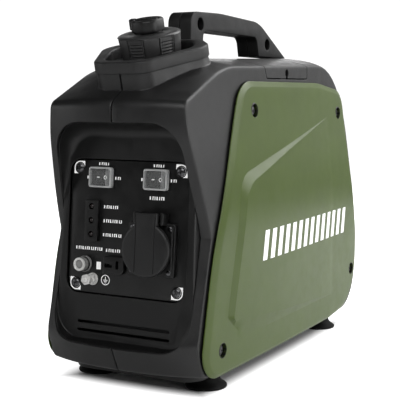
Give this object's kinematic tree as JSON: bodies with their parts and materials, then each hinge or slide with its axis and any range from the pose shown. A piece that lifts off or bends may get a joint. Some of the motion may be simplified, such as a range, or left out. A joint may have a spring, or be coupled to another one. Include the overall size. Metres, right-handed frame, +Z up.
{
  "type": "portable inverter generator",
  "caption": "Suitcase-shaped portable inverter generator with recessed control panel, tilted filler collar, top carrying handle, louvred rear and flared rubber feet.",
  "frame": {"origin": "on the ground at the centre of the footprint", "axes": "+Z up, the control panel faces -Y, the service hatch is on the +X side, the recoil starter and choke are on the -X side"},
  "size_m": [0.1887, 0.4317, 0.3683],
  "materials": {
    "casing_plastic": "satin",
    "fascia_plastic": "matte",
    "panel_green": "satin",
    "control_plate": "satin",
    "trim_plastic": "matte",
    "handle_plastic": "fine texture",
    "foot_rubber": "matte",
    "screw_steel": "blackened",
    "bright_metal": "plated",
    "cast_alloy": "as cast",
    "lamp_lens": "gloss",
    "button_white": "gloss",
    "tank_plastic": "natural"
  },
  "bodies": {
    "generator": {"casing_right": "casing_plastic", "casing_left": "casing_plastic", "service_hatch": "casing_plastic", "hatch_screw": "screw_steel", "side_panel_right": "panel_green", "side_panel_left": "panel_green", "side_screw_right_1": "screw_steel", "side_screw_right_2": "screw_steel", "side_screw_right_3": "screw_steel", "side_screw_right_4": "screw_steel", "side_screw_left_1": "screw_steel", "side_screw_left_2": "screw_steel", "side_screw_left_3": "screw_steel", "side_screw_left_4": "screw_steel", "front_fascia": "fascia_plastic", "control_panel": "control_plate", "panel_screw_1": "screw_steel", "panel_screw_2": "screw_steel", "panel_screw_3": "screw_steel", "panel_screw_4": "screw_steel", "economy_switch": "trim_plastic", "engine_switch": "trim_plastic", "indicator_strip": "trim_plastic", "lamp_output": "lamp_lens", "lamp_overload": "lamp_lens", "lamp_oil": "lamp_lens", "breaker_body": "trim_plastic", "dc_socket": "trim_plastic", "earth_terminal": "bright_metal", "ac_outlet": "trim_plastic", "filler_collar": "casing_plastic", "handle_right": "handle_plastic", "handle_left": "handle_plastic", "rear_cover": "fascia_plastic", "exhaust_outlet": "bright_metal", "base_tray": "fascia_plastic", "foot_front_right": "foot_rubber", "foot_front_left": "foot_rubber", "foot_rear_right": "foot_rubber", "foot_rear_left": "foot_rubber", "crankcase": "cast_alloy", "cylinder_head": "cast_alloy", "spark_plug": "bright_metal", "stator": "trim_plastic", "carburettor": "cast_alloy", "air_filter": "fascia_plastic", "silencer": "bright_metal", "inverter_module": "cast_alloy", "fuel_tank": "tank_plastic"},
    "fuel_cap": {"fuel_cap": "trim_plastic"},
    "vent_knob": {"vent_knob": "trim_plastic"},
    "economy_rocker": {"economy_rocker": "control_plate"},
    "engine_rocker": {"engine_rocker": "control_plate"},
    "breaker_button": {"breaker_button": "button_white"},
    "outlet_lid": {"ac_outlet_lid": "trim_plastic"},
    "recoil_handle": {"recoil_handle": "trim_plastic"},
    "recoil_pulley": {"recoil_pulley": "cast_alloy"},
    "choke_lever": {"choke_lever": "trim_plastic"},
    "crank": {"crankshaft": "bright_metal", "flywheel_rotor": "bright_metal"}
  },
  "joints": [
    {"name": "cap_turn", "type": "hinge", "parent": "generator", "child": "fuel_cap", "pos_m": [0, -0.1409, 0.3271], "axis": [0, -0.2504, 0.9681], "range_deg": [0, 270]},
    {"name": "vent_turn", "type": "hinge", "parent": "fuel_cap", "child": "vent_knob", "pos_m": [0, -0.1409, 0.3271], "axis": [0, -0.2504, 0.9681], "range_deg": [0, 90]},
    {"name": "economy_tip", "type": "hinge", "parent": "generator", "child": "economy_rocker", "pos_m": [-0.0297, -0.18391, 0.20306], "axis": [0, 0.0854, 0.9963], "range_deg": [-9, 9]},
    {"name": "engine_tip", "type": "hinge", "parent": "generator", "child": "engine_rocker", "pos_m": [0.032, -0.18391, 0.20306], "axis": [0, 0.0854, 0.9963], "range_deg": [-9, 9]},
    {"name": "breaker_press", "type": "slide", "parent": "generator", "child": "breaker_button", "axis": [0, 0.9963, -0.0854], "range_m": [0, 0.004], "stiffness_N_per_m": 300},
    {"name": "lid_swing", "type": "hinge", "parent": "generator", "child": "outlet_lid", "pos_m": [0.0303, -0.19425, 0.16792], "axis": [-1, 0, 0], "range_deg": [0, 110]},
    {"name": "recoil_pull", "type": "slide", "parent": "generator", "child": "recoil_handle", "axis": [-1, 0, 0], "range_m": [0, 0.5]},
    {"name": "pulley_turn", "type": "hinge", "parent": "generator", "child": "recoil_pulley", "pos_m": [-0.075, 0.062, 0.118], "axis": [1, 0, 0], "range_deg": [0, 720]},
    {"name": "choke_turn", "type": "hinge", "parent": "generator", "child": "choke_lever", "pos_m": [-0.09, -0.092, 0.15], "axis": [1, 0, 0], "range_deg": [0, 60]},
    {"name": "crank_turn", "type": "hinge", "parent": "generator", "child": "crank", "pos_m": [0, 0.062, 0.118], "axis": [1, 0, 0], "continuous": true}
  ],
  "couplings": [
    {"joint": "pulley_turn", "follows": "recoil_pull", "rad_per_m": 25}
  ]
}
